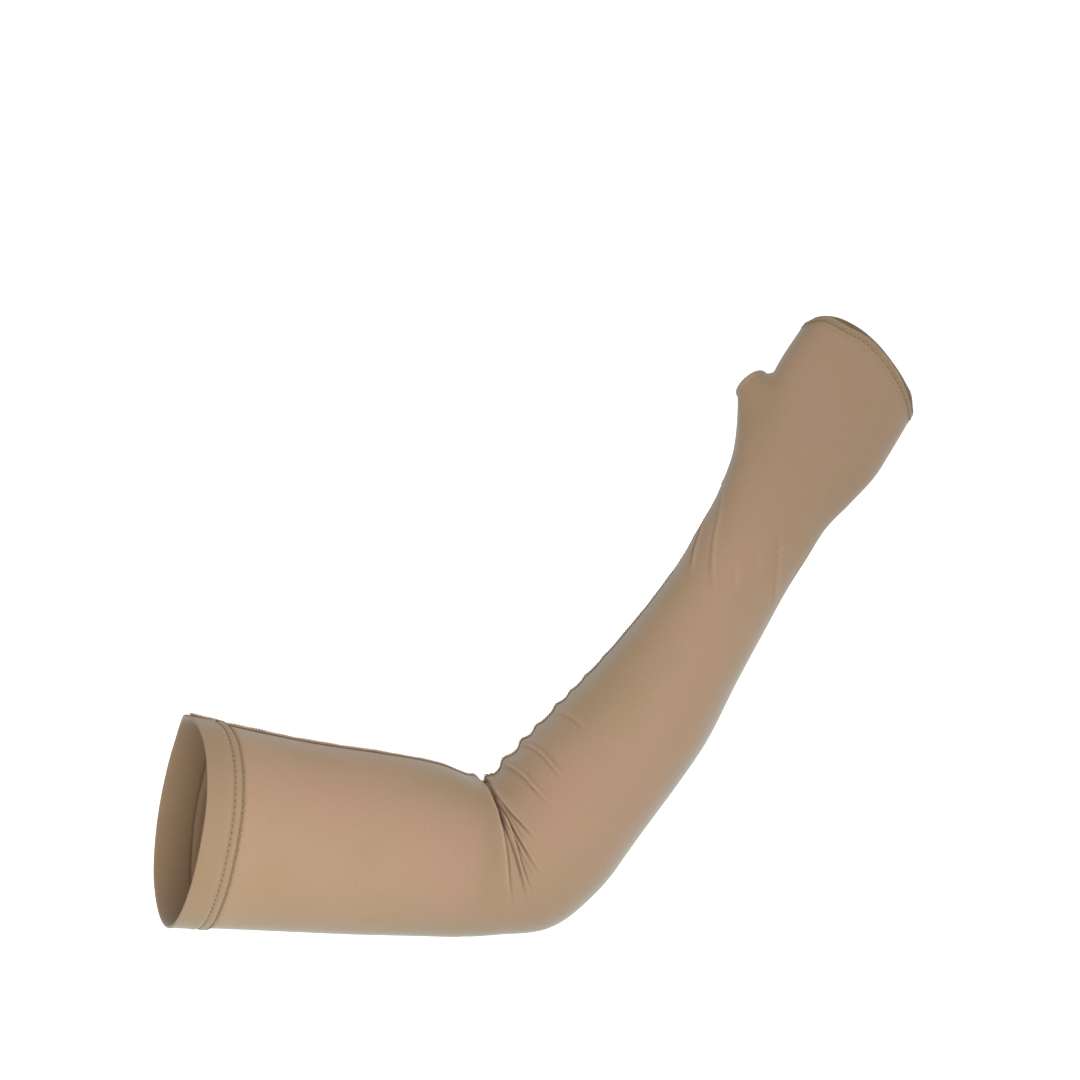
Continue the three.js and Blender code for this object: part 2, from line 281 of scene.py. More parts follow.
def pucker_lift(along, around):
    aside = np.degrees(between(around - seam_around(along)))
    lift = np.zeros_like(along)
    for place, height, width, front, back in PUCKERS:
        fade = bell(aside, np.where(aside > 0, front, back) * 0.7)
        lift += height * fade * bell(along - place - 0.03 * aside, width)
    return lift


def crease_lift(points, normals):
    """How far the creases raise the cloth at the smooth arm's points, and its ridges and furrows."""
    lift, ridges, furrows = np.zeros((3, len(points)))
    for ridge, furrow, width, rise, *way in CREASES:
        places, turns = np.array(way, float).T
        t = np.linspace(0, 1, STEPS)
        knots = np.linspace(0, 1, len(places))
        line_along = np.interp(t, knots, places)
        line_around = np.radians(np.interp(t, knots, turns))
        for _ in range(ROUNDINGS):
            for line in (line_along, line_around):
                line[1:-1] = (line[:-2] + 2 * line[1:-1] + line[2:]) / 4
        line = smooth_arm(line_along, line_around)
        half = abs(width)
        low, high = line.min(0) - REACH * half, line.max(0) + REACH * half
        near = np.flatnonzero(np.all((points > low) & (points < high), axis=1))
        if not len(near):
            continue
        start, step = line[:-1], np.diff(line, axis=0)
        offset = points[near, None] - start
        share = np.clip((offset * step).sum(-1) / (step**2).sum(-1), 0, 1)
        aside = offset - share[..., None] * step
        away = np.linalg.norm(aside, axis=-1)
        best = away.argmin(1)
        rows = np.arange(len(near))
        t = (best + share[rows, best]) / (STEPS - 1)
        handward = np.cross(normals[near], step[best]) * np.sign(turns[-1] - turns[0])
        signed = away[rows, best] * np.sign((aside[rows, best] * handward).sum(1))
        fade = smoothstep(t, -0.01, rise) * (1 - smoothstep(t, FADE_FROM, 1))
        # the furrow is wider than the ridge, and lies beside it
        crest = bell(signed, half)
        trough = bell(signed - np.copysign(1.9 * half, width), 1.15 * half)
        lift[near] += fade * (ridge * crest - furrow * trough)
        ridges[near] += fade * max(ridge, 0) * crest
        furrows[near] += fade * (furrow * trough**1.6 + max(-ridge, 0) * crest**1.6)
    return lift, ridges, furrows


# How far the edges run past an even cut, by degrees from the inner edge to the front. The knuckles'
# edge rides up between the knuckles and hangs lower at the palm's outer corner; the upper arm's edge
# is drawn towards the elbow on both sides of the seam.
EDGE_TURNS, EDGE_REACH = np.array([
    (-180, 4), (-160, 9), (-136, 7), (-110, 3.4), (-85, 1), (-60, 0.6), (-42, -0.8), (-26, -4.6),
    (-12, -5.6), (-2, -2.4), (8, 1), (22, 3.8), (36, 3.4), (50, 1.2), (64, 0.1), (77, -0.4), (92, -3.1),
    (110, -3.8), (130, -3.6), (150, -3.4), (166, -1), (180, 4),
]).T
TOP_TURNS, TOP_REACH = np.array([
    (-180, 0), (-140, 0), (-110, 1.6), (-80, 3.6), (-55, 4.4), (-35, 3), (-14, 0), (-4, 2.7), (9, 3.9),
    (22, 4.7), (35, 5.1), (47, 5.1), (62, 4.7), (73, 3.9), (84, 2.9), (97, 2), (123, 0.5), (140, 0),
    (180, 0),
]).T
EDGE_STARTS, TOP_ENDS = 500, 100  # places along the arm between which the cloth is even


def reach_at(turns, table_turns, reach):
    """A wavy edge's reach, its corners rounded by the mean of three places 6 degrees apart."""
    around = [(turns + d + 180) % 360 - 180 for d in (-6, 0, 6)]
    return sum(np.interp(turn, table_turns, reach) for turn in around) / 3


def arm_cloth(along, around, raised=0.0):
    """Points of the cloth's outer face in mm, or of what is raised above it."""
    turns = np.degrees(between(around))
    by_hand = reach_at(turns, EDGE_TURNS, EDGE_REACH) * smoothstep(along, EDGE_STARTS, SLEEVE_LENGTH)
    by_elbow = reach_at(turns, TOP_TURNS, TOP_REACH) * (1 - smoothstep(along, 0, TOP_ENDS))
    along = along + by_hand + by_elbow
    points = smooth_arm(along, around)
    normals = outward(along, around)
    lift = pucker_lift(along, around) + crease_lift(points, normals)[0] + raised
    return points + normals * np.reshape(lift, (-1, 1))


# The thumb's stub: where its axis starts, and half its mouth along the arm and across it, in mm.
THUMB_ALONG = 486.6
THUMB_ROOT = 40.0  # from the hand's centre line
THUMB_MOUTH = 20.4  # height at which the hem starts
PANEL_MOUTH = 20.6  # height at which the panel ends, just under the hem's edge
MOUTH_ALONG, MOUTH_ACROSS = 10.4, 11.2
hand_forward, hand_inward = directions(np.float64(BEND_LENGTH / BEND_RADIUS))
past_bend = THUMB_ALONG - UPPER_LENGTH - BEND_LENGTH
hand_middle = CROOK - BEND_RADIUS * hand_inward + past_bend * hand_forward
thumb_root = hand_middle + THUMB_ROOT * hand_inward
# the thumb points inward, as much to the palm's side, and a little towards the fingers
thumb_out = 0.2 * hand_forward + 0.68 * hand_inward + np.array([0, 0.7, 0])
thumb_out /= np.linalg.norm(thumb_out)
thumb_side = hand_forward - thumb_out * (hand_forward @ thumb_out)
thumb_side /= np.linalg.norm(thumb_side)
thumb_across = np.cross(thumb_out, thumb_side)

# The hole in the cloth round the thumb's axis, and how far from its middle the cloth is drawn out:
# towards the hand, the front, the wrist and the palm.
HOLE_ALONG, HOLE_AROUND = 494.7, math.radians(-23.5)
HOLE = 9.5
DRAWN = (19.0, 22.0, 40.0, 26.0)
DOWN_THUMB, SPREAD = 0.45, 0.2  # how straight the cloth leaves the mouth, and how it spreads out
girth_turns = np.linspace(-math.pi, math.pi, 1441) + HOLE_AROUND
girth_points = smooth_arm(np.full_like(girth_turns, HOLE_ALONG), girth_turns)
girth = np.cumsum(np.linalg.norm(np.diff(girth_points, axis=0, prepend=girth_points[:1]), axis=1))
girth -= np.interp(HOLE_AROUND, girth_turns, girth)


def from_hole(along, around):
    """Distance from the hole's middle over the cloth, in mm, and the direction."""
    turn = HOLE_AROUND + between(around - HOLE_AROUND)
    ahead, beside = along - HOLE_ALONG, np.interp(turn, girth_turns, girth)
    return np.hypot(ahead, beside), np.arctan2(beside, ahead)


def by_hole(away, way):
    """Points of the arm's cloth at a distance from the hole's middle, in a direction."""
    around = np.interp(away * np.sin(way), girth, girth_turns)
    return arm_cloth(HOLE_ALONG + away * np.cos(way), around)


front_way = np.diff(smooth_arm(np.full(2, HOLE_ALONG), HOLE_AROUND + np.array([0, 0.01])), axis=0)[0]
front_way /= np.linalg.norm(front_way)


def mouth_ring(way, height, raised=0.0):
    """Points round the thumb's mouth in mm, in directions of the cloth round the hole."""
    ray = np.multiply.outer(np.cos(way), hand_forward) + np.multiply.outer(np.sin(way), front_way)
    turn = np.arctan2(ray @ thumb_across / MOUTH_ACROSS, ray @ thumb_side / MOUTH_ALONG)
    points = thumb_root + np.multiply.outer(np.broadcast_to(height, len(way)), thumb_out)
    points = points + ((MOUTH_ALONG + raised) * np.cos(turn))[:, None] * thumb_side
    return points + ((MOUTH_ACROSS + raised) * np.sin(turn))[:, None] * thumb_across


def panel_cloth(along, around):
    """Points of the panel in mm: the arm's cloth, drawn out to the thumb's mouth."""
    points = arm_cloth(along, around)
    away, way = from_hole(along, around)
    ahead, beside = np.cos(way), np.sin(way)
    to_hand, to_front, to_wrist, to_palm = DRAWN
    drawn = 1 / np.hypot(
        ahead / np.where(ahead > 0, to_hand, to_wrist), beside / np.where(beside > 0, to_front, to_palm)
    )
    near = np.flatnonzero(away < drawn)
    if not len(near):
        return points
    way, drawn = way[near], drawn[near]
    t = np.clip((away[near] - HOLE) / (drawn - HOLE), 0, 1)[:, None]
    mouth, arm = mouth_ring(way, PANEL_MOUTH), by_hole(drawn, way)
    span = np.linalg.norm(arm - mouth, axis=1)[:, None]
    # it leaves the mouth down the thumb, and spreads out from it on the wrist's side
    spread = mouth - thumb_root - PANEL_MOUTH * thumb_out
    spread *= (SPREAD - SPREAD * np.cos(way))[:, None] / np.linalg.norm(spread, axis=1)[:, None]
    leaving = (by_hole(drawn + 0.1, way) - by_hole(drawn - 0.1, way)) / 0.2 * span
    r = 1 - t
    points[near] = (
        mouth * r * r * (1 + 2 * t)
        + arm * t * t * (1 + 2 * r)
        + (spread - DOWN_THUMB * thumb_out) * span * t * r * r
        - leaving * t * t * r
    )
    return points


def grid(columns, rows):
    """A flat grid with its UVs, and u and v from 0 to 1 for each vertex."""
    bm = bmesh.new()
    bm.loops.layers.uv.new("UVMap")
    bmesh.ops.create_grid(bm, x_segments=columns, y_segments=rows, size=0.5, calc_uvs=True)
    return bm, *(np.array([vert.co[:2] for vert in bm.verts]).T + 0.5)


def unrolled(bm, across, length):
    """Sets the UVs from each vertex's share of the cloth's width and length."""
    bm.verts.index_update()
    uv = bm.loops.layers.uv.active
    for face in bm.faces:
        for loop in face.loops:
            loop[uv].uv = across[loop.vert.index], length[loop.vert.index]


def marked(bm, name, values):
    """Writes a number on each vertex."""
    layer = bm.verts.layers.float.new(name)
    for vert, value in zip(bm.verts, np.broadcast_to(values, len(bm.verts))):
        vert[layer] = value
    return layer


MEET = 0.01  # mm between vertices that are taken as one


def laid(bm, points):
    """The mesh's vertices brought to the points, in mm, and joined where they meet."""
    for vert, point in zip(bm.verts, points * MM):
        vert.co = point
    bmesh.ops.remove_doubles(bm, verts=bm.verts, dist=MEET * MM)
    return bm


def finished(bm, name, material):
    """The mesh as a piece of the sleeve, smooth, in its place."""
    for face in bm.faces:
        face.smooth = True
    mesh = bpy.data.meshes.new(name)
    bm.to_mesh(mesh)
    bm.free()
    mesh.materials.append(material)
    piece = bpy.data.objects.new(name, mesh)
    bpy.context.collection.objects.link(piece)
    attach(piece, "root")
    return piece


def colour(code):
    """An sRGB hex colour as linear RGBA."""
    parts = [int(code[i : i + 2], 16) / 255 for i in (1, 3, 5)]
    linear = [c / 12.92 if c <= 0.04045 else ((c + 0.055) / 1.055) ** 2.4 for c in parts]
    return (*linear, 1)


def node(tree, kind, links=None, **settings):
    """Adds a node; links give its inputs, by name or number, a value or another node's output."""
    made = tree.nodes.new("ShaderNode" + kind)
    for key, value in settings.items():
        setattr(made, key, value)
    for key, value in (links or {}).items():
        if isinstance(value, bpy.types.NodeSocket):
            tree.links.new(value, made.inputs[key])
        else:
            made.inputs[key].default_value = value
    return made


WALES, STREAK = 1.0, 2.6  # mm between the drawn wales, and the length of a streak
CLOUDED = 16.0  # changes of the dye to a metre
NAP = 0.85  # weight of the nap's sheen, where it stands


def rescaled(tree, value, low, high, to_low, to_high):
    """A value brought from one range to another; returns the node's output."""
    ends = {"From Min": low, "From Max": high, "To Min": to_low, "To Max": to_high}
    return node(tree, "MapRange", {"Value": value, **ends}).outputs[0]


def knit(name, shades, flat):
    """Fine jersey: clouded dye, short streaks of its wales in shade and relief, and a soft nap.

    shades are its khaki, middle and pinker colours, flat the stretched cloth's width and length in mm.
    """
    material = bpy.data.materials.new(name)
    material.use_nodes = True
    tree = material.node_tree
    tree.nodes.clear()
    place = node(tree, "TexCoord")
    # the dye takes unevenly, in clouds 50 to 100 mm wide with broken edges
    clouds = node(
        tree, "TexNoise", {"Vector": place.outputs["Object"], "Scale": CLOUDED, "Detail": 3.0}
    )
    warm = node(tree, "Attribute", attribute_name="warm")
    broken = rescaled(tree, clouds.outputs["Fac"], 0.3, 0.7, 0.32, 0.68)
    tone = node(tree, "Math", {0: warm.outputs["Fac"], 1: broken}, operation="ADD")
    khaki, middle, pinker = [colour(c) for c in shades]
    ramp = node(tree, "ValToRGB", {"Fac": tone.outputs[0]})
    first, last = ramp.color_ramp.elements
    first.position, first.color = 0.0, khaki
    last.position, last.color = 1.0, pinker
    ramp.color_ramp.elements.new(0.5).color = middle
    # the wales show as short streaks, and are drawn twice as coarse as they are so that they show
    threads = node(
        tree, "Mapping", {"Vector": place.outputs["UV"], "Scale": (flat[0] / WALES, flat[1] / STREAK, 1)}
    )
    streaks = node(tree, "TexNoise", {"Vector": threads.outputs[0], "Scale": 1.0, "Detail": 3.0})
    grain = rescaled(tree, streaks.outputs["Fac"], 0.25, 0.75, 0.965, 1.035)
    # painted shade: where the pieces mark a furrow or a stitch groove, the colour is mixed towards a dark
    # red-brown, as shade falls there
    depth = node(tree, "Attribute", attribute_name="painted_crease_shade")
    crease_shaded = node(
        tree,
        "Mix",
        {0: depth.outputs["Fac"], 6: ramp.outputs["Color"], 7: colour("#5f3924")},
        data_type="RGBA",
    )
    # painted light and shade: the colour is scaled darker or paler by the share each piece carries
    painted_shading = node(tree, "Attribute", attribute_name="painted_shading")
    paler = node(tree, "Math", {0: 1.0, 1: painted_shading.outputs["Fac"]}, operation="SUBTRACT")
    shade = node(tree, "Math", {0: grain, 1: paler.outputs[0]}, operation="MULTIPLY")
    dyed = node(
        tree, "VectorMath", {0: crease_shaded.outputs[2], 3: shade.outputs[0]}, operation="SCALE"
    )
    bump = node(
        tree, "Bump", {"Height": streaks.outputs["Fac"], "Strength": 0.25, "Distance": 0.15 * MM}
    )
    # the nap lies flat where the cloth is pulled hardest
    sleek = node(tree, "Attribute", attribute_name="sleek")
    nap = node(tree, "Math", {0: NAP, 1: sleek.outputs["Fac"]}, operation="SUBTRACT")
    cloth = node(
        tree,
        "BsdfPrincipled",
        {
            "Base Color": dyed.outputs[0],
            "Roughness": 0.75,
            "Specular IOR Level": 0.25,
            "Sheen Weight": nap.outputs[0],
            "Sheen Roughness": 0.45,
            "Sheen Tint": colour("#d2e2df"),
            "Normal": bump.outputs[0],
        },
    )
    node(tree, "OutputMaterial", {"Surface": cloth.outputs[0]})
    return material


# Painted shade, growing towards the hand: place along the arm, and the share.
HANDWARD_PAINTED_SHADE_AT, HANDWARD_PAINTED_SHADE = np.array([
    (0, 0), (60, 0.02), (200, 0.08), (380, 0.14), (470, 0.25), (SLEEVE_LENGTH, 0.28),
]).T
# Bands of painted light along the upper arm: the share, the band's middle and half its width in degrees,
# and the places along the arm between which it fades out.
PAINTED_LIGHT_BANDS = [(0.09, 122, 46, 90, 200), (0.12, 140, 26, 8, 60), (0.07, 8, 22, 110, 160)]
# Spots of painted light, by the thumb: the share, place along the arm and half the length in mm, and the
# middle and half the width in degrees.
PAINTED_LIGHT_SPOTS = [(0.08, 486, 22, -4, 26), (0.08, 524, 18, -4, 14)]


def painted_shading_at(along, around):
    """The share of painted shade: least on the upper arm, and most on the hand.

    There is painted shade too on both sides of the crook, where the upper arm's cloth rolls in.
    """
    painted_shading = np.interp(along, HANDWARD_PAINTED_SHADE_AT, HANDWARD_PAINTED_SHADE)
    turns = np.degrees(between(around))
    for share, middle, half, fades, gone in PAINTED_LIGHT_BANDS:
        painted_shading -= share * bell(turns - middle, half) * (1 - smoothstep(along, fades, gone))
    for share, place, length, middle, half in PAINTED_LIGHT_SPOTS:
        painted_shading -= share * bell(along - place, length) * bell(turns - middle, half)
    # painted shade on both sides of the crook
    return painted_shading + 0.06 * bell(along - 171, 9) * bell(np.abs(turns) - 60, 45)


def sleek_at(along, around):
    """How much of the nap lies flat: beside the upper arm's seam, and over the wrist's outer edge."""
    turns = np.degrees(between(around))
    by_seam = 0.35 * bell(turns - 14, 34) * (1 - smoothstep(along, 110, 160))
    return by_seam + 0.5 * bell(np.abs(turns) - 180, 60) * bell(along - 440, 50)


# Clouds of the dye: place along the arm, degrees from the inner edge towards the front, half the
# cloud's length and width in mm, and how pink (or, below nothing, how khaki) it is.
CLOUDS = [
    # upper arm, front
    (85, -4, 90, 8, 0.35), (142, 76, 30, 18, 0.4), (172, 70, 10, 34, -0.3), (118, 52, 26, 9, 0.2),
    (75, 50, 40, 9, 0.18), (95, 78, 14, 9, -0.2), (70, 22, 80, 9, -0.3), (150, 26, 34, 12, -0.4),
    (42, 110, 40, 24, -0.15), (110, 120, 40, 16, -0.1),
    # forearm, front
    (252, 60, 26, 15, 0.4), (232, 22, 30, 14, -0.3), (290, 22, 60, 12, -0.25), (315, 45, 18, 8, -0.15),
    (330, 85, 60, 12, 0.15), (395, 62, 40, 12, 0.15), (370, 24, 30, 9, -0.2), (200, 125, 40, 18, -0.1),
    # hand, front
    (485, 76, 30, 12, 0.12), (491, 20, 26, 18, -0.38), (523, 100, 22, 16, -0.2),
    (487, 125, 30, 16, -0.15),
    # palm side
    (140, -80, 30, 18, 0.4), (80, -50, 40, 12, -0.3), (60, -120, 40, 20, 0.25), (240, -75, 30, 16, 0.35),
    (190, -130, 40, 20, -0.2), (300, -50, 50, 14, -0.3), (340, -110, 50, 16, 0.2),
    (400, -70, 30, 14, -0.2), (470, -80, 28, 16, 0.15), (500, -130, 26, 16, -0.2),
    # outer edge
    (110, 178, 40, 18, 0.2), (290, 178, 50, 18, -0.2), (430, 178, 34, 14, -0.2),
]


def warm_at(along, around, points):
    """How pink or khaki the dye is at the smooth arm's points."""
    warm = np.zeros(len(points))
    for place, turn, length, width, tone in CLOUDS:
        middle = smooth_arm(np.array([place]), np.radians([turn]))
        ahead = along - place
        aside = np.sqrt(np.maximum(((points - middle) ** 2).sum(1) - ahead**2, 0))
        warm += tone * bell(ahead, length) * bell(aside, width)
    return warm


CLOTH = 0.9  # thickness of the stretched jersey, as thin as it shows at this size

# Rows of the cloth's grid: closer together where it is creased (place along the arm, step, in mm).
# The panel runs on a little under both hems.
STEP_AT, STEPS_ALONG = np.array([
    (UPPER_HEM - 0.6, 4.6), (148, 4.6), (165, 0.58), (213, 0.58), (230, 1.0), (262, 1.1), (296, 1.6),
    (330, 3), (365, 3), (385, 1.5), (445, 1.5), (460, 1.9), (520, 1.9),
    (SLEEVE_LENGTH - HAND_HEM + 1.2, 2),
]).T
AROUND = 150  # columns of the grid
GATHERED = 0.08  # how much closer the columns are at the seam
# The rows fan out from the crook as the folds do: a row's place away from the seam, and at it.
FAN_AWAY, FAN_AT_SEAM = np.array([
    (0, 0), (148, 148), (168, 170.5), (214, 182), (228, 222), (238, 238), (SLEEVE_LENGTH, SLEEVE_LENGTH),
]).T
FAN_TURNS = 14, 72  # degrees from the seam between which the rows leave their fan
fine_along, fine_step = np.linspace(STEP_AT[0], STEP_AT[-1], 6000, retstep=True)
row_count = np.cumsum(fine_step / np.interp(fine_along, STEP_AT, STEPS_ALONG))
row_count -= row_count[0]
panel_mesh, u, v = grid(AROUND, int(row_count[-1]))
row_along = np.interp(v * row_count[-1], row_count, fine_along)
turn = 2 * np.pi * u - 2 * np.pi * GATHERED * np.sin(2 * np.pi * u)
fanned = 1 - smoothstep(np.degrees(np.minimum(turn, 2 * np.pi - turn)), *FAN_TURNS)
along = row_along + (np.interp(row_along, FAN_AWAY, FAN_AT_SEAM) - row_along) * fanned
around = seam_around(along) + turn
unrolled(panel_mesh, turn / (2 * np.pi), along / SLEEVE_LENGTH)
along_mark = marked(panel_mesh, "along", along)
around_mark = marked(panel_mesh, "around", around)
flat_arm, flat_normals = smooth_arm(along, around), outward(along, around)
ridges, furrows = crease_lift(flat_arm, flat_normals)[1:]
# painted shade in the furrows, strongest at the crook, and a painted highlight over each ridge
past_elbow = [290, 360]  # places between which the folds' own shade weakens
depth = furrows * np.interp(along, past_elbow, [0.52, 0.16])
painted_highlight = np.clip(ridges, 0, 1.1) * np.interp(along, past_elbow, [0.3, 0.2])
marked(panel_mesh, "painted_crease_shade", np.clip(depth, 0, 0.85))
marked(panel_mesh, "painted_shading", painted_shading_at(along, around) - painted_highlight)
marked(panel_mesh, "warm", warm_at(along, around, flat_arm))
marked(panel_mesh, "sleek", sleek_at(along, around))
laid(panel_mesh, panel_cloth(along, around))

# the hole for the thumb, its edge drawn to the mouth
away_mark = marked(
    panel_mesh,
    "away",
    from_hole(
        np.array([vert[along_mark] for vert in panel_mesh.verts]),
        np.array([vert[around_mark] for vert in panel_mesh.verts]),
    )[0],
)
cut = [f for f in panel_mesh.faces if sum(vert[away_mark] for vert in f.verts) < HOLE * len(f.verts)]
bmesh.ops.delete(panel_mesh, geom=cut, context="FACES")
rim = [vert for vert in panel_mesh.verts if vert.is_boundary and vert[away_mark] < 2 * HOLE]
rim_way = from_hole(*np.array([(vert[along_mark], vert[around_mark]) for vert in rim]).T)[1]
for vert, point in zip(rim, mouth_ring(rim_way, PANEL_MOUTH)):
    vert.co = point * MM
for name in ("along", "around", "away"):
    panel_mesh.verts.layers.float.remove(panel_mesh.verts.layers.float[name])

# nylon-elastane jersey: matt, tan with pinker and more khaki clouds, a grey nap where it turns away
jersey = knit("dyed_stretch_jersey", ("#b69a76", "#be9e80", "#c49b82"), (300, 549))
panel = finished(panel_mesh, "panel_jersey", jersey)
wall = panel.modifiers.new("cloth", "SOLIDIFY")
wall.thickness, wall.offset = CLOTH * MM, -1
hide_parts("sleeve_panel")

# ---- Upper hem -----------------------------------------------------------------------------------
# The jersey turned in by 21 mm at the upper arm and held by a twin-needle stitch, whose two rows
# sink into the doubled cloth. The fold itself is a soft roll.

# The hem's outline in mm: from the sleeve's end, and up from the cloth's face.
UPPER_PROFILE = [
    # the rolled edge, and the flat band
    (0.1, -1.0), (-0.1, -0.6), (0.0, -0.2), (0.35, 0.18), (0.8, 0.34), (1.3, 0.28), (1.8, 0.14),
    (2.6, 0.12), (4, 0.18), (7, 0.26), (10, 0.34), (12, 0.5),
    # the two rolls, a row of stitches sunk between them, and the second row past them
    (12.9, 0.72), (13.7, 0.84), (14.5, 0.76), (15.2, 0.46), (15.7, 0.16), (16.2, 0.02), (16.7, 0.18),
    (17.3, 0.62), (18.1, 0.98), (19.1, 1.05), (19.9, 0.8), (20.4, 0.35), (20.8, 0.05), (21.3, -0.2),
    # the inner face
    (21.7, -0.5), (21.1, -1.1), (19, -1.25), (16.2, -1.1), (12, -1.3), (6, -1.35), (1.5, -1.45),
    (0.5, -1.35), (0.1, -1.0),
]
UPPER_NEEDLES = (16.2, 20.8)
UPPER_STITCHES = 104  # round the arm, 3.3 mm apart


def along_profile(profile, v):
    """The profile's two columns at each vertex's share of its length."""
    count = len(profile) - 1
    return [np.interp(v * count, range(count + 1), column) for column in np.array(profile).T]


INNER_FACE = -0.6  # what is lower than this is on the hem's inner face
SEAM_BUMP = 0.7  # how much higher the hem's rolls are over the seam
PINCHED = 0.09  # mm that the cloth rises between two stitches


def hem_band(profile, columns, edge, inward, needles, stitches):
    """A turned hem swept round the arm, from its edge's place along the arm, inward by 1 or -1.

    The stitches draw the cloth in, so it rises a little between them, and it is thicker at the seam.
    """
    bm, u, v = grid(columns, len(profile) - 1)
    around = 2 * np.pi * u
    place, raised = along_profile(profile, v)
    along = edge + inward * place
    outside = raised > INNER_FACE
    at_seam = bell(np.degrees(between(around - seam_around(along))), 4.5)
    raised = raised + outside * np.clip(raised + 0.2, 0, 1) * SEAM_BUMP * at_seam
    pinch = bell(place - np.mean(needles), 3) * outside
    raised = raised + PINCHED * pinch * np.cos(around * stitches)
    # painted shade in the stitches' grooves, a painted highlight over the rolls between them, and a faint
    # one on the inner face
    groove = outside * sum(bell(place - needle, 0.7) for needle in needles)
    painted_highlight = np.where(outside, np.clip(raised, 0, 1) * 0.09, 0.02)
    marked(bm, "painted_crease_shade", 0.1 * groove)
    marked(bm, "painted_shading", painted_shading_at(along, around) - painted_highlight)
    marked(bm, "warm", -0.25)
    marked(bm, "sleek", sleek_at(along, around))
    laid(bm, arm_cloth(along, around, raised))
    bmesh.ops.recalc_face_normals(bm, faces=bm.faces)
    return bm


hem_jersey = knit("turned_stretch_jersey", ("#a98e6c", "#b29478", "#b8967c"), (350, 45))
upper_hem = finished(
    hem_band(UPPER_PROFILE, 416, 0, 1, UPPER_NEEDLES, UPPER_STITCHES),
    "upper_hem_jersey",
    hem_jersey,
)
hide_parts("upper_hem")


def stitch(bm, point, way, up, length, thick, slant=0.0):
    """A short rounded stitch at a point, along the way and turned by the slant's tangent."""
    x = Vector(way).normalized()
    y = Vector(up).cross(x).normalized()
    x, y = x + slant * y, y - slant * x
    turned = Matrix((x.normalized(), y.normalized(), x.cross(y).normalized())).transposed().to_4x4()
    drawn = Matrix.Diagonal((length / 2 * MM, thick / 2 * MM, thick / 2 * MM, 1))
    matrix = Matrix.Translation(Vector(point) * MM) @ turned @ drawn
    bmesh.ops.create_uvsphere(bm, u_segments=6, v_segments=5, radius=1, matrix=matrix)


def stitch_row(bm, along, turns, length, thick, raised, slant=0.0):
    """Stitches laid on the cloth, one at each place round the arm, a little unevenly."""
    along = np.full(len(turns), float(along))
    points = arm_cloth(along, turns, raised)
    ahead = arm_cloth(along, turns + 0.002, raised) - points
    for i, (point, way, up) in enumerate(zip(points, ahead, outward(along, turns))):
        uneven = math.sin(i * 2.4) + math.sin(i * 5.3)
        stitch(bm, point, way, up, length * (1 + 0.12 * uneven), thick, slant + 0.08 * uneven)


def thread(name, code, rough):
    """Spun polyester thread: slightly glossy, with fine twist along it."""
    material = bpy.data.materials.new(name)
    material.use_nodes = True
    tree = material.node_tree
    tree.nodes.clear()
    place = node(tree, "TexCoord")
    # twist 0.7 mm long, seen as small changes of shade
    twist = node(tree, "TexNoise", {"Vector": place.outputs["Object"], "Scale": 1400.0, "Detail": 2.0})
    light = rescaled(tree, twist.outputs["Fac"], 0.3, 0.7, 0.75, 1.2)
    base = node(tree, "RGB")
    base.outputs[0].default_value = colour(code)
    shade = node(tree, "VectorMath", {0: base.outputs[0], 3: light}, operation="SCALE")
    bump = node(
        tree, "Bump", {"Height": twist.outputs["Fac"], "Strength": 0.4, "Distance": 0.15 * MM}
    )
    cord = node(
        tree,
        "BsdfPrincipled",
        {
            "Base Color": shade.outputs[0],
            "Roughness": rough,
            "Sheen Weight": 0.12,
            "Normal": bump.outputs[0],
        },
    )
    node(tree, "OutputMaterial", {"Surface": cord.outputs[0]})
    return material


hem_thread = thread("spun_polyester_tan", "#9e8361", 0.6)
dark_thread = thread("spun_polyester_dark_tan", "#866b4d", 0.6)
stitches, chain = bmesh.new(), bmesh.new()
turns = np.arange(UPPER_STITCHES) * 2 * np.pi / UPPER_STITCHES
stitch_row(stitches, UPPER_NEEDLES[0], turns, length=1.7, thick=0.65, raised=0.2, slant=0.45)
upper_stitches = finished(stitches, "upper_hem_stitches", dark_thread)
# beside the hem's inner edge the thread lies in a thick chain
chain_at = UPPER_NEEDLES[1] + 0.25
stitch_row(chain, chain_at, turns + 0.02, length=3.9, thick=1.9, raised=0.05, slant=0.25)
upper_chain = finished(chain, "upper_hem_chain", hem_thread)

# ---- Hem at the knuckles -------------------------------------------------------------------------
# The jersey turned in by 6 mm over the knuckles and the palm, with two close rows of stitches.

HAND_PROFILE = [
    (0.1, -0.9), (0.0, -0.4), (0.25, 0.05), (0.8, 0.28), (1.4, 0.2), (1.8, -0.02), (2.2, 0.22),
    (2.7, 0.2), (3.2, -0.06), (3.7, 0.16), (4.4, 0.12), (5.2, 0.08), (5.9, 0.02), (6.2, -0.4),
    (5.9, -1.0), (4.5, -1.1), (3.2, -1.0), (1.5, -1.2), (0.4, -1.15), (0.1, -0.9),
]
HAND_NEEDLES = (1.8, 3.2)
HAND_STITCHES = 84  # round the hand, 2.7 mm apart

narrow_hem_jersey = knit("narrow_turned_jersey", ("#b39a77", "#bb9e7f", "#bf9b80"), (240, 14))
hand_hem = finished(
    hem_band(HAND_PROFILE, 336, SLEEVE_LENGTH, -1, HAND_NEEDLES, HAND_STITCHES),
    "hand_hem_jersey",
    narrow_hem_jersey,
)
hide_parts("hand_hem")
stitches = bmesh.new()
turns = np.arange(HAND_STITCHES) * 2 * np.pi / HAND_STITCHES
outer_row, inner_row = (SLEEVE_LENGTH - needle for needle in HAND_NEEDLES)
stitch_row(stitches, outer_row, turns + 0.03, length=1.5, thick=0.35, raised=-0.06)
stitch_row(stitches, inner_row, turns, length=1.7, thick=0.75, raised=0.16)
hand_stitches = finished(stitches, "hand_hem_stitches", dark_thread)

# ---- Hem of the thumb opening --------------------------------------------------------------------
# The gap left in the seam for the thumb is turned in narrowly and stitched once round.

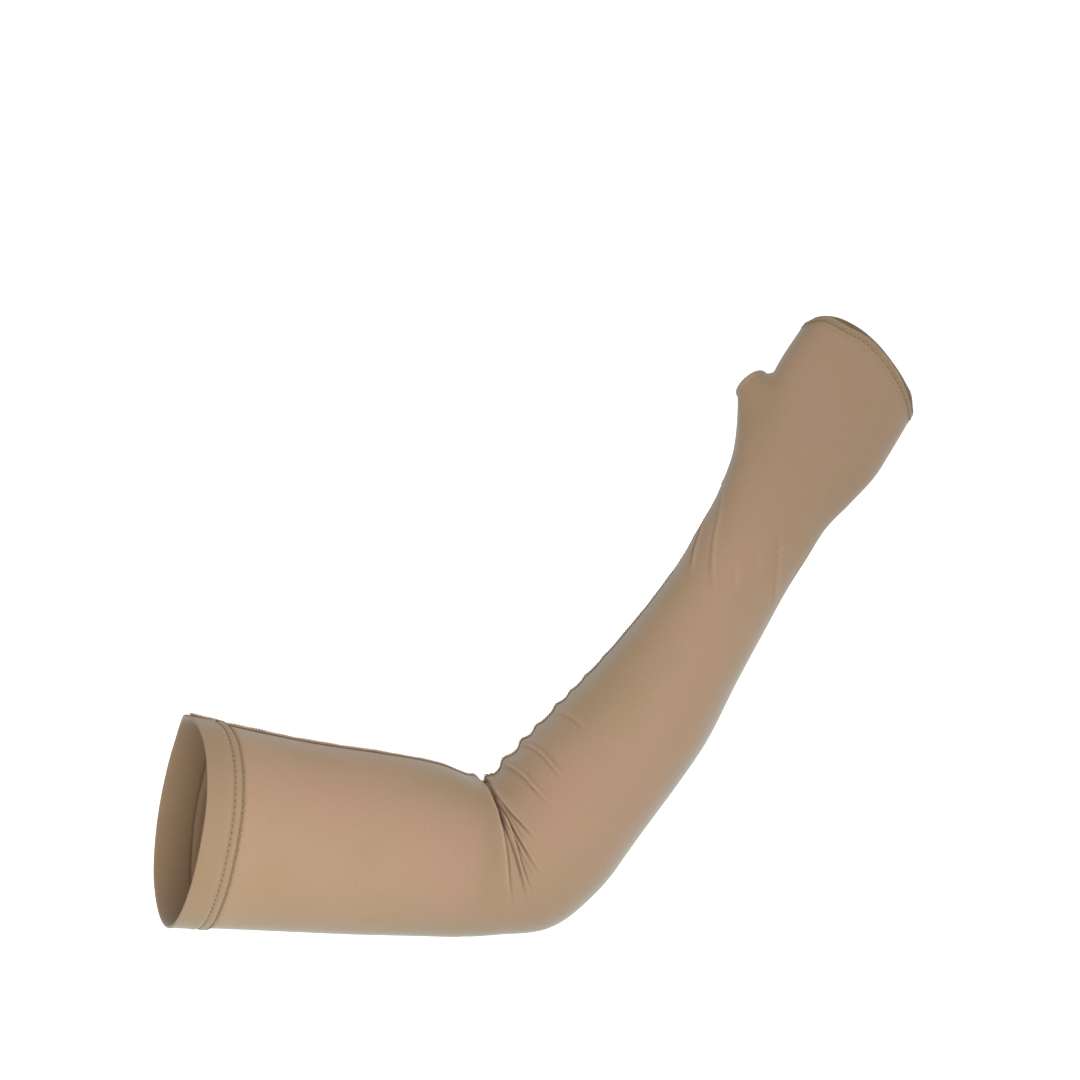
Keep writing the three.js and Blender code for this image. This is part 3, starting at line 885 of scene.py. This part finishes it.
THUMB_PROFILE = [
    (2.5, -1.7), (2.9, -1.35), (2.8, -0.85), (2.3, -0.35), (1.8, -0.08), (1.4, 0.02), (0.9, 0.12),
    (0.3, 0.18), (-0.5, 0.14), (-1.3, -0.15), (-0.9, -0.9), (1.3, -1.3), (2.0, -1.7), (2.5, -1.7),
]
THUMB_NEEDLE = 1.4
THUMB_STITCHES = 28

thumb_mesh, u, v = grid(112, len(THUMB_PROFILE) - 1)
from_mouth, up = along_profile(THUMB_PROFILE, v)
# painted shade, the same all over the thumb's hem
marked(thumb_mesh, "painted_shading", 0.12)
marked(thumb_mesh, "warm", -0.15)
laid(thumb_mesh, mouth_ring(2 * np.pi * u, THUMB_MOUTH + from_mouth, up))
bmesh.ops.recalc_face_normals(thumb_mesh, faces=thumb_mesh.faces)
thumb_hem = finished(thumb_mesh, "thumb_hem_jersey", narrow_hem_jersey)
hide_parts("thumb_hem")

stitches = bmesh.new()
for turn in np.arange(THUMB_STITCHES) * 2 * np.pi / THUMB_STITCHES:
    here, ahead = mouth_ring(np.array([turn, turn + 0.02]), THUMB_MOUTH + THUMB_NEEDLE, -0.16)
    up = np.cross(ahead - here, thumb_out)
    stitch(stitches, here, ahead - here, up, length=1.7, thick=0.44)
thumb_stitches = finished(stitches, "thumb_hem_stitches", hem_thread)

# ---- Lengthwise seam -----------------------------------------------------------------------------
# The panel's two edges, overlocked together: a low ridge of cloth, painted dark brown for the shade
# between the strands, with two tan strands twisted along its crest. It runs along the inner edge to the
# thumb's hem, and on past it.

SEAM_WIDTH, SEAM_HEIGHT = 1.8, 1.0
STRAND = 0.6  # radius of the strands' way round each other
STRAND_ROUND = 0.78 * STRAND  # radius of a strand
STRANDS_UP = 0.75  # their middle, above the cloth
TWIST = 3.3  # length of a full turn of the two strands
SEAM_STEP = 0.45
# How full the seam stands: most on the upper arm, and pulled thin past the crook.
FULL_AT, FULL = np.array([
    (0, 0.9), (20, 1), (27, 1.25), (95, 1.25), (125, 1.05), (150, 0.9), (176, 0.75), (SLEEVE_LENGTH, 0.65),
]).T


def seam_frame(along):
    """Points of the seam's line on the cloth, and the directions beside it and up from it."""
    around = seam_around(along)
    points = panel_cloth(along, around)
    ahead = np.gradient(points, axis=0)
    about = panel_cloth(along, around + 0.01) - panel_cloth(along, around - 0.01)
    up = np.cross(about, ahead)
    up /= np.linalg.norm(up, axis=1)[:, None]
    beside = np.cross(ahead, up)
    return points, beside / np.linalg.norm(beside, axis=1)[:, None], up


def tube(columns, rows, points, beside, up, half_side, half_up):
    """A closed tube about a line of points, its ends capped."""
    bm, u, v = grid(columns, rows)
    i, turn = np.round(v * rows).astype(int), 2 * np.pi * u
    aside, above = half_side[i] * np.cos(turn), half_up[i] * np.sin(turn)
    laid(bm, points[i] + aside[:, None] * beside[i] + above[:, None] * up[i])
    bmesh.ops.holes_fill(bm, edges=[edge for edge in bm.edges if edge.is_boundary])
    bmesh.ops.recalc_face_normals(bm, faces=bm.faces)
    return bm


def seam_parts(start, end):
    """The ridge and the two strands twisted on it, of one stretch of seam."""
    count = int((end - start) / SEAM_STEP)
    stations = np.linspace(start, end, count + 1)
    points, beside, up = seam_frame(stations)
    # it steps up on to the hems
    hem_step = 0.6 * (1 - smoothstep(stations, UPPER_HEM - 0.5, UPPER_HEM + 1))
    hem_step += 0.15 * smoothstep(stations, SLEEVE_LENGTH - HAND_HEM, SLEEVE_LENGTH - HAND_HEM + 1)
    points = points + hem_step[:, None] * up
    # and is a little uneven
    full = np.interp(stations, FULL_AT, FULL)
    full *= 1 + 0.07 * np.sin(stations * 0.19) + 0.05 * np.sin(stations * 0.47 + 1)
    ridge = tube(6, count, points, beside, up, SEAM_WIDTH / 2 * full, SEAM_HEIGHT / 2 * full)
    distance = np.cumsum(np.linalg.norm(np.diff(points, axis=0, prepend=points[:1]), axis=1))
    strands = bmesh.new()
    for phase in (0, math.pi):
        angle = 2 * math.pi * distance / TWIST + phase
        middle = points + (STRAND * np.cos(angle) * full)[:, None] * beside
        middle += ((STRANDS_UP + STRAND * np.sin(angle)) * full)[:, None] * up
        strand = tube(5, count, middle, beside, up, STRAND_ROUND * full, STRAND_ROUND * full)
        mesh = bpy.data.meshes.new("strand")
        strand.to_mesh(mesh)
        strand.free()
        strands.from_mesh(mesh)
        bpy.data.meshes.remove(mesh)
    return ridge, strands


# the ridge's dark brown is painted shade, seen in the gaps between the strands
seam_cloth = thread("overlocked_edge_painted_shade", "#7a5530", 0.7)
seam_thread = thread("spun_polyester_brown", "#ab8450", 0.55)
seam_line = np.linspace(1, SLEEVE_LENGTH - 1, 4000)
on_cloth = seam_line[from_hole(seam_line, seam_around(seam_line))[0] > HOLE]
wrist_end = on_cloth[on_cloth < HOLE_ALONG].max()
hand_start = on_cloth[on_cloth > HOLE_ALONG].min()
for name, start, end in (
    ("lengthwise_seam", 1.0, wrist_end),
    ("hand_seam", hand_start, SLEEVE_LENGTH - 1),
):
    ridge, strands = seam_parts(start, end)
    ridge = finished(ridge, name + "_overlock", seam_cloth)
    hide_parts(name)
    strands = finished(strands, name + "_strands", seam_thread)

# ---- Studio --------------------------------------------------------------------------------------
# A pale floor that whitens into the surroundings of a studio, a large soft light in front, a weaker
# cool one low beyond the hand, and a long lens.

paper = bpy.data.materials.new("matt_white_paper")
paper.use_nodes = True
tree = paper.node_tree
rays = node(tree, "LightPath")
shader = tree.nodes["Principled BSDF"]
shader.inputs["Base Color"].default_value = colour("#e4e4e2")
shader.inputs["Roughness"].default_value = 0.9
shader.inputs["Emission Color"].default_value = (1, 1, 1, 1)
tree.links.new(rays.outputs["Is Camera Ray"], shader.inputs["Emission Strength"])
FLOOR = -0.45  # its height in m
bm = bmesh.new()
bmesh.ops.create_grid(bm, x_segments=1, y_segments=1, size=8)  # 16 m across
bmesh.ops.translate(bm, verts=bm.verts, vec=(0.2, 0, FLOOR))
mesh = bpy.data.meshes.new("floor")
bm.to_mesh(mesh)
bm.free()
mesh.materials.append(paper)
floor = bpy.data.objects.new("floor", mesh)
bpy.context.collection.objects.link(floor)

# the surroundings show white, and light the sleeve at half of that
world = bpy.data.worlds.new("studio")
bpy.context.scene.world = world
world.use_nodes = True
tree = world.node_tree
rays = node(tree, "LightPath")
level = rescaled(tree, rays.outputs["Is Camera Ray"], 0, 1, 0.5, 1.0)
tree.nodes["Background"].inputs[0].default_value = (1, 1, 1, 1)
tree.links.new(level, tree.nodes["Background"].inputs[1])
MIDDLE = Vector((0.205, -0.012, 0.148))  # of the sleeve, where the lights point


def soft_light(name, place, size, power, tint):
    light = bpy.data.lights.new(name, "AREA")
    light.shape, light.size, light.energy, light.color = "DISK", size, power, colour(tint)[:3]
    made = bpy.data.objects.new(name, light)
    made.location = place
    made.visible_camera = False
    made.rotation_euler = (MIDDLE - Vector(place)).to_track_quat("-Z", "Y").to_euler()
    bpy.context.collection.objects.link(made)


soft_light("key", (-0.144, -2.2, 0.45), size=0.9, power=22, tint="#ffffff")
soft_light("low_side", (1.48, 0.29, -0.38), size=1.0, power=8.5, tint="#c4dcff")

camera = bpy.data.objects.new("camera", bpy.data.cameras.new("camera"))
bpy.context.collection.objects.link(camera)
camera.data.lens, camera.data.sensor_width = 135, 36
camera.data.clip_end = 50
azimuth, elevation, distance = math.radians(-16), math.radians(17), 2.2275  # from the origin
towards = Vector((
    math.sin(azimuth) * math.cos(elevation),
    -math.cos(azimuth) * math.cos(elevation),
    math.sin(elevation),
))
right = Vector((math.cos(azimuth), math.sin(azimuth), 0))
above = towards.cross(right)
# the origin, in the upper hem's ring, shows left of the middle and below it
camera.location = distance * (towards + 0.0900247 * right + 0.0693086 * above)
camera.rotation_euler = (-towards).to_track_quat("-Z", "Y").to_euler()
bpy.context.scene.camera = camera
bpy.context.scene.view_settings.view_transform = "Standard"
